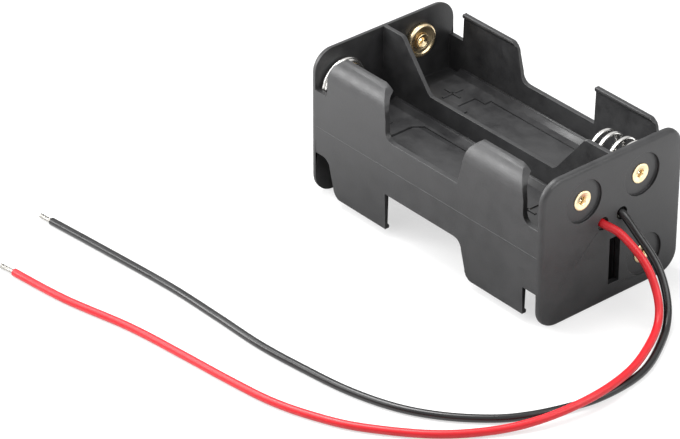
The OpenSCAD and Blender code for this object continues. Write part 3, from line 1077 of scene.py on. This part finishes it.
@dataclass(frozen=True)
class HollowRivet(Turned):
    """A hollow rivet with a rolled head outside and a flared end inside.

    Attributes:
        head_r: Radius of the head.
        head_rim: Height of its rim.
        head_roll: Height and width of its rounding.
        mouth: The bore's mouth in it, as heights over its seat and radii.
        shank_r: Radius of the shank.
        flange_r: Radius of the flared end.
        flange_roll: Height and width of its rounding.
        inner_end: The bore's other end, as height over the flared end's seat and radius.
    """

    head_r: float = 1.8
    head_rim: float = 0.11
    head_roll: Pair = (0.09, 0.28)
    mouth: tuple[Pair, Pair] = ((0.04, 0.68), (0.17, 0.84))
    shank_r: float = 0.95
    flange_r: float = 1.35
    flange_roll: Pair = (0.11, 0.16)
    inner_end: Pair = (0.02, 0.68)

    def profile(self) -> list[Pair]:
        """Returns the rivet's closed profile, from its bore round its head."""
        seat, flare = self.outer, self.base
        high, wide = self.head_roll
        head = [(seat - self.head_rim - high * math.sin(a), self.head_r - wide * (1 + math.cos(a)))
                for a in arc(30, 180, 15)]
        high, wide = self.flange_roll
        lip = [(flare + high * (1 + math.sin(a)), self.flange_r - wide * (1 - math.cos(a)))
               for a in arc(0, 180, 20)]
        mouth = [(seat - height, radius) for height, radius in self.mouth]
        rise, inner_r = self.inner_end
        return [*mouth, *head, (seat, self.head_r), (seat, self.shank_r), (flare, self.shank_r),
                (flare, self.flange_r), *lip, (flare + rise, inner_r)]


@dataclass
class Contacts:
    """Springs, pressed domes, rivets, straps and terminals of the end plates.

    Attributes:
        springs: The coil springs.
        turned: The domes and rivets.
        strips: The solids of the bent strips.
        bend_degrees: Edges of a strip that bend less than this are shaded smooth.
    """

    springs: tuple[CoilSpring, ...] = (
        CoilSpring("spring_far_upper", Plate.FAR, (-7.8, 22.4), 0.0, phase=160,
                   foot=(-2.1, -1.9), tip=(-2.4, -3.6), squeeze=0.8),
        CoilSpring("spring_near_upper", Plate.NEAR, (6.4, 21.9), 0.3, phase=180,
                   foot=(-1.0, -0.2), tip=(-0.9, -0.5)),
        CoilSpring("spring_far_lower", Plate.FAR, (7.8, 5.6), 0.0, phase=90,
                   foot=(-0.2, 0.6), tip=(-0.2, 0.6)),
        CoilSpring("spring_near_lower", Plate.NEAR, (-7.6, 6.2), 0.3, phase=200,
                   foot=(0.0, 0.0), tip=(0.0, 0.0)),
    )
    turned: tuple[Turned, ...] = (
        PressedDome("dome_near_upper", Plate.NEAR, (-6.6, 21.8), 0.3),
        PressedDome("dome_far_upper", Plate.FAR, (7.8, 22.4), 0.0),
        PressedDome("dome_near_lower", Plate.NEAR, (7.7, 6.0), 0.3),
        PressedDome("dome_far_lower", Plate.FAR, (-7.8, 5.6), 0.0),
        HollowRivet("rivet_near_left", Plate.NEAR, (-6.6, 21.8), 1.02, -0.65),
        HollowRivet("rivet_near_right", Plate.NEAR, (6.4, 21.9), 1.0, -0.65),
        HollowRivet("rivet_near_lower", Plate.NEAR, (7.7, 6.0), 1.02, -0.65),
        HollowRivet("eyelet_negative", Plate.NEAR, (-7.6, 6.2), 1.0, 0.0),
        HollowRivet("rivet_far_upper_left", Plate.FAR, (-7.8, 22.4), 0.7, -0.95),
        HollowRivet("rivet_far_upper_right", Plate.FAR, (7.8, 22.4), 0.72, -0.95),
        HollowRivet("rivet_far_lower_left", Plate.FAR, (-7.8, 5.6), 0.72, -0.95),
        HollowRivet("rivet_far_lower_right", Plate.FAR, (7.8, 5.6), 0.7, -0.95),
    )
    strips: tuple[str, ...] = ("link_near", "strap_far_upper", "strap_far_lower",
                               "terminal_positive", "terminal_negative")
    bend_degrees: float = 40.0

    def build(self) -> None:
        """Winds the springs, turns the round parts and dresses the strips."""
        for part in (*self.springs, *self.turned):
            part.build()
        for name in self.strips:
            mesh = merged_copy(name, self.bend_degrees)
            piece = dressed_piece(f"strip_{name}", mesh, TINNED_STRIP)
            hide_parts(name)


@dataclass(frozen=True)
class Lead:
    """One flying lead with its bare twisted end.

    Attributes:
        name: The lead's solid.
        strands: The solid of its bare end.
        finish: Finish of the insulation.
        route: Points of its middle line, in millimetres.
        tip: Where the bare strands end.
        length_mm: Length of the insulated lead; not used.
        lead_d: Diameter of the insulation.
        ground: Height of the middle line where the lead lies on the ground.
        hidden: How far the strands reach into the insulation.
        core: The stranded conductor.
        steps: Points for each straight stretch of it.
    """

    name: str
    strands: str
    finish: Finish
    route: tuple[Point, ...]
    tip: Point
    length_mm: float
    lead_d: float = 1.4
    ground: float = 0.72
    hidden: float = 0.4
    core: Wire = Wire(TINNED_STRANDS, 0.26, 8, strands=7, lay_r=0.27, twist=5.0, flare=0.25)
    steps: int = 6

    def build(self) -> None:
        bare = self.bare_end()
        lead = self.insulation()

    def insulation(self) -> bpy.types.Object:
        """Lays the insulated lead as one curve on the route's points.

        Returns:
            The curve piece.
        """
        curve = bpy.data.curves.new(f"insulated_{self.name}", "CURVE")
        curve.dimensions = "3D"
        curve.bevel_depth = self.lead_d / 2 * MM
        curve.bevel_resolution = 5
        curve.resolution_u = 8
        curve.use_fill_caps = True
        spline = curve.splines.new("BEZIER")
        spline.bezier_points.add(len(self.route) - 1)
        points = [Vector(p) * MM for p in self.route]
        for i, knot in enumerate(spline.bezier_points):
            before, after = points[max(i - 1, 0)], points[min(i + 1, len(points) - 1)]
            slope = (after - before) / 6.0  # so that the curve passes smoothly from knot to knot
            knot.co = points[i]
            knot.handle_left_type = knot.handle_right_type = "FREE"
            knot.handle_left = self.above(points[i] - slope)
            knot.handle_right = self.above(points[i] + slope)
        piece = dressed_piece(f"insulated_{self.name}", curve, self.finish)
        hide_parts(self.name)
        return piece

    def above(self, point: Vector) -> Vector:
        """Returns the point, lifted to where the lead rests on the ground."""
        return Vector((point.x, point.y, max(point.z, self.ground * MM)))

    def bare_end(self) -> bpy.types.Object:
        """Twists the bare strands past the end of the insulation.

        Returns:
            The piece.
        """
        end, tip = Vector(self.route[-1]), Vector(self.tip)
        way = (end - Vector(self.route[-2])).normalized()
        knots = [end - way * self.hidden, end + way, (end + way + tip) / 2, tip]
        points = [tuple((a + (b - a) * i / self.steps) * MM)
                  for a, b in zip(knots, knots[1:]) for i in range(self.steps)]
        points.append(tuple(tip * MM))
        return self.core.sweep(f"twisted_{self.strands}", self.strands, points)


RED_LEAD = Lead(
    "red_lead", "red_strands", RED_PVC,
    ((27.9, -2.1, 15.8), (29.2, -2.1, 15.8), (32, -0.6, 14.4), (36.2, 0.9, 10.2),
     (39.5, 0.6, 5.8), (42, -1.5, 2.8), (45.5, -7.2, 2.2), (48.6, -14.5, 2.2),
     (50, -23.5, 2.2), (48.6, -32.7, 1.4), (45.3, -40.5, 0.8), (39.8, -48.4, 0.72),
     (31, -55.8, 0.72), (23.9, -59.5, 0.72), (16.3, -62, 0.72), (7.2, -63.4, 0.72),
     (-2.7, -64.5, 0.72), (-15, -66.1, 0.72), (-28.6, -69.2, 0.72), (-40.7, -70.7, 0.72)),
    (-44, -71.1, 0.6), 157.6)
BLACK_LEAD = Lead(
    "black_lead", "black_strands", BLACK_PVC,
    ((27.9, 2.1, 16.2), (29.2, 2.1, 16.2), (31.6, 3.2, 13), (35.6, 4.4, 8),
     (39.5, 3, 3.6), (42.8, -0.6, 0.9), (47.3, -8.1, 0.72), (49.1, -14, 0.72),
     (49.3, -21.4, 0.72), (48, -27.4, 0.72), (45.8, -33.3, 0.72), (42.8, -38.2, 0.72),
     (37.3, -43.7, 0.72), (30.6, -47.9, 0.72), (22.1, -50.7, 0.72), (12.6, -52.2, 0.72),
     (2.8, -53.2, 0.72), (-8.2, -53.3, 0.72), (-20.6, -53.6, 0.72), (-36.6, -55, 0.72),
     (-49.6, -56.3, 0.72)),
    (-52.5, -56.5, 0.6), 161.0)


# ------------------------------------------------------------------ the studio


@dataclass(frozen=True)
class SoftBox:
    """A square soft light that looks at one point.

    Attributes:
        name: The light's name.
        place: Where it hangs, in metres.
        aim: The point that it looks at.
        size: Its side, in metres.
        power: Its power, in watts.
    """

    name: str
    place: Point
    aim: Point
    size: float
    power: float

    def hang(self) -> None:
        """Hangs the light in the scene."""
        lamp = bpy.data.lights.new(self.name, "AREA")
        lamp.shape = "SQUARE"
        lamp.size = self.size
        lamp.energy = self.power
        box = placed_object(self.name, lamp)
        way = Vector(self.aim) - Vector(self.place)
        box.rotation_euler = way.to_track_quat("-Z", "Y").to_euler()
        box.location = self.place


@dataclass
class Studio:
    """Camera, floor, world and lights.

    Attributes:
        camera_at: Place of the camera, in metres.
        azimuth: Turn of its view about the upright axis, in degrees.
        elevation: How far it looks down, in degrees.
        lens: Its focal length on a sensor 36 mm wide.
        floor_half: Half the side of the floor, in metres.
        floor_tone: Tone of the floor for the light that falls on it.
        floor_seen: Light that it adds where it is seen directly.
        floor_mirrored: Light that gloss sees far from the object; nearer, the floor mirrors dark,
            a painted shade round the object's foot.
        floor_fade: Distances from the object between which that painted light comes up.
        around: Level of the world for all but gloss.
        mirrored: Level of the world that gloss sees, low and high up.
        mirrored_up: Heights of direction between which it changes.
        boxes: The lights.
    """

    camera_at: Point = (0.40261, -0.37476, 0.34411)
    azimuth: float = 49.74
    elevation: float = 31.91
    lens: float = 201.18
    floor_half: float = 1.6
    floor_tone: float = 0.38
    floor_seen: float = 0.62
    floor_mirrored: float = 1.3
    floor_fade: Pair = (0.028, 0.070)
    around: float = 0.45
    mirrored: Pair = (0.25, 1.0)
    mirrored_up: Pair = (0.10, 0.45)
    boxes: tuple[SoftBox, ...] = (
        SoftBox("key_above", (-0.25, -0.05, 0.8), (0.0, 0.0, 0.01), 0.4, 6.5),
        SoftBox("edge_left", (-0.75, -0.55, 0.38), (0.0, -0.01, 0.02), 0.45, 8.0),
        SoftBox("fill_right", (0.70, 0.30, 0.45), (0.0, 0.0, 0.015), 0.45, 2.0),
        SoftBox("near_left", (-0.014, -0.066, 0.064), (-0.006, -0.016, 0.022), 0.085, 0.055),
        SoftBox("near_right", (0.085, 0.005, 0.07), (0.029, 0.0, 0.02), 0.05, 0.02),
    )

    def build(self) -> None:
        """Sets up everything round the object."""
        self.camera()
        self.world()
        self.floor()
        for box in self.boxes:
            box.hang()
        bpy.context.scene.view_settings.view_transform = "Standard"

    def camera(self) -> None:
        """Sets the camera on its place and aims it."""
        lens = bpy.data.cameras.new("camera")
        lens.lens = self.lens
        lens.sensor_width = 36.0
        lens.clip_start = 0.01
        lens.clip_end = 20.0
        view = placed_object("camera", lens)
        az, el = math.radians(self.azimuth), math.radians(self.elevation)
        back = Vector((math.sin(az) * math.cos(el), -math.cos(az) * math.cos(el), math.sin(el)))
        right = Vector((math.cos(az), math.sin(az), 0.0))
        up = back.cross(right)
        turn = Matrix((right, up, back)).transposed()
        view.matrix_world = Matrix.Translation(self.camera_at) @ turn.to_4x4()
        bpy.context.scene.camera = view

    def world(self) -> None:
        """Gives the world a plain level and a white look."""
        world = bpy.data.worlds.new("studio")
        sheet = blank_sheet(world)
        direct, glossy = sheet.rays()
        way = sheet.add("ShaderNodeSeparateXYZ")
        sheet.join(sheet.add("ShaderNodeTexCoord").outputs["Generated"], way.inputs[0])
        above = sheet.spread(way.outputs["Z"], *self.mirrored, *self.mirrored_up)
        mirrored = sheet.math("MULTIPLY", glossy, above)
        around = sheet.math("MULTIPLY", sheet.math("SUBTRACT", 1.0, glossy), self.around)
        level = sheet.math("MAXIMUM", direct, sheet.math("ADD", mirrored, around))
        light = sheet.add("ShaderNodeBackground")
        sheet.feed(light, Color=sheet.blend(level, (0.0, 0.0, 0.0), (1.0, 1.0, 1.0)))
        sheet.feed(sheet.add("ShaderNodeOutputWorld"), Surface=light.outputs[0])
        bpy.context.scene.world = world

    def floor(self) -> None:
        """Lays a pale floor that keeps the object's shadow."""
        mesh = bpy.data.meshes.new("studio_floor")
        h = self.floor_half
        mesh.from_pydata([(-h, -h, 0), (h, -h, 0), (h, h, 0), (-h, h, 0)], [], [(0, 1, 2, 3)])
        made = bpy.data.materials.new("pale_floor")
        sheet = blank_sheet(made)
        direct, glossy = sheet.rays()
        reach = sheet.add("ShaderNodeVectorMath", operation="LENGTH")
        sheet.join(sheet.add("ShaderNodeTexCoord").outputs["Object"], reach.inputs[0])
        # Painted shade: for gloss the floor glows only away from the object, so that the walls
        # mirror it dark near their foot.
        far = sheet.spread(reach.outputs["Value"], 0.0, self.floor_mirrored, *self.floor_fade)
        seen = sheet.math("MAXIMUM", sheet.math("MULTIPLY", direct, self.floor_seen),
                          sheet.math("MULTIPLY", glossy, far))
        matt = sheet.add("ShaderNodeBsdfDiffuse")
        matt.inputs["Color"].default_value = (*[self.floor_tone] * 3, 1.0)
        glow = sheet.feed(sheet.add("ShaderNodeEmission"), Strength=seen)
        both = sheet.feed(sheet.add("ShaderNodeAddShader"), i0=matt.outputs[0], i1=glow.outputs[0])
        sheet.feed(sheet.add("ShaderNodeOutputMaterial"), Surface=both.outputs[0])
        mesh.materials.append(made)
        floor = placed_object("studio_floor", mesh)


def main() -> None:
    """Builds the scene in order."""
    logging.basicConfig(level=logging.INFO, format="%(name)s %(message)s")
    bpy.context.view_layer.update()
    Studio().build()
    for lead in (RED_LEAD, BLACK_LEAD):
        lead.build()
    Moulding().build()
    Contacts().build()


if __name__ == "__main__":
    main()
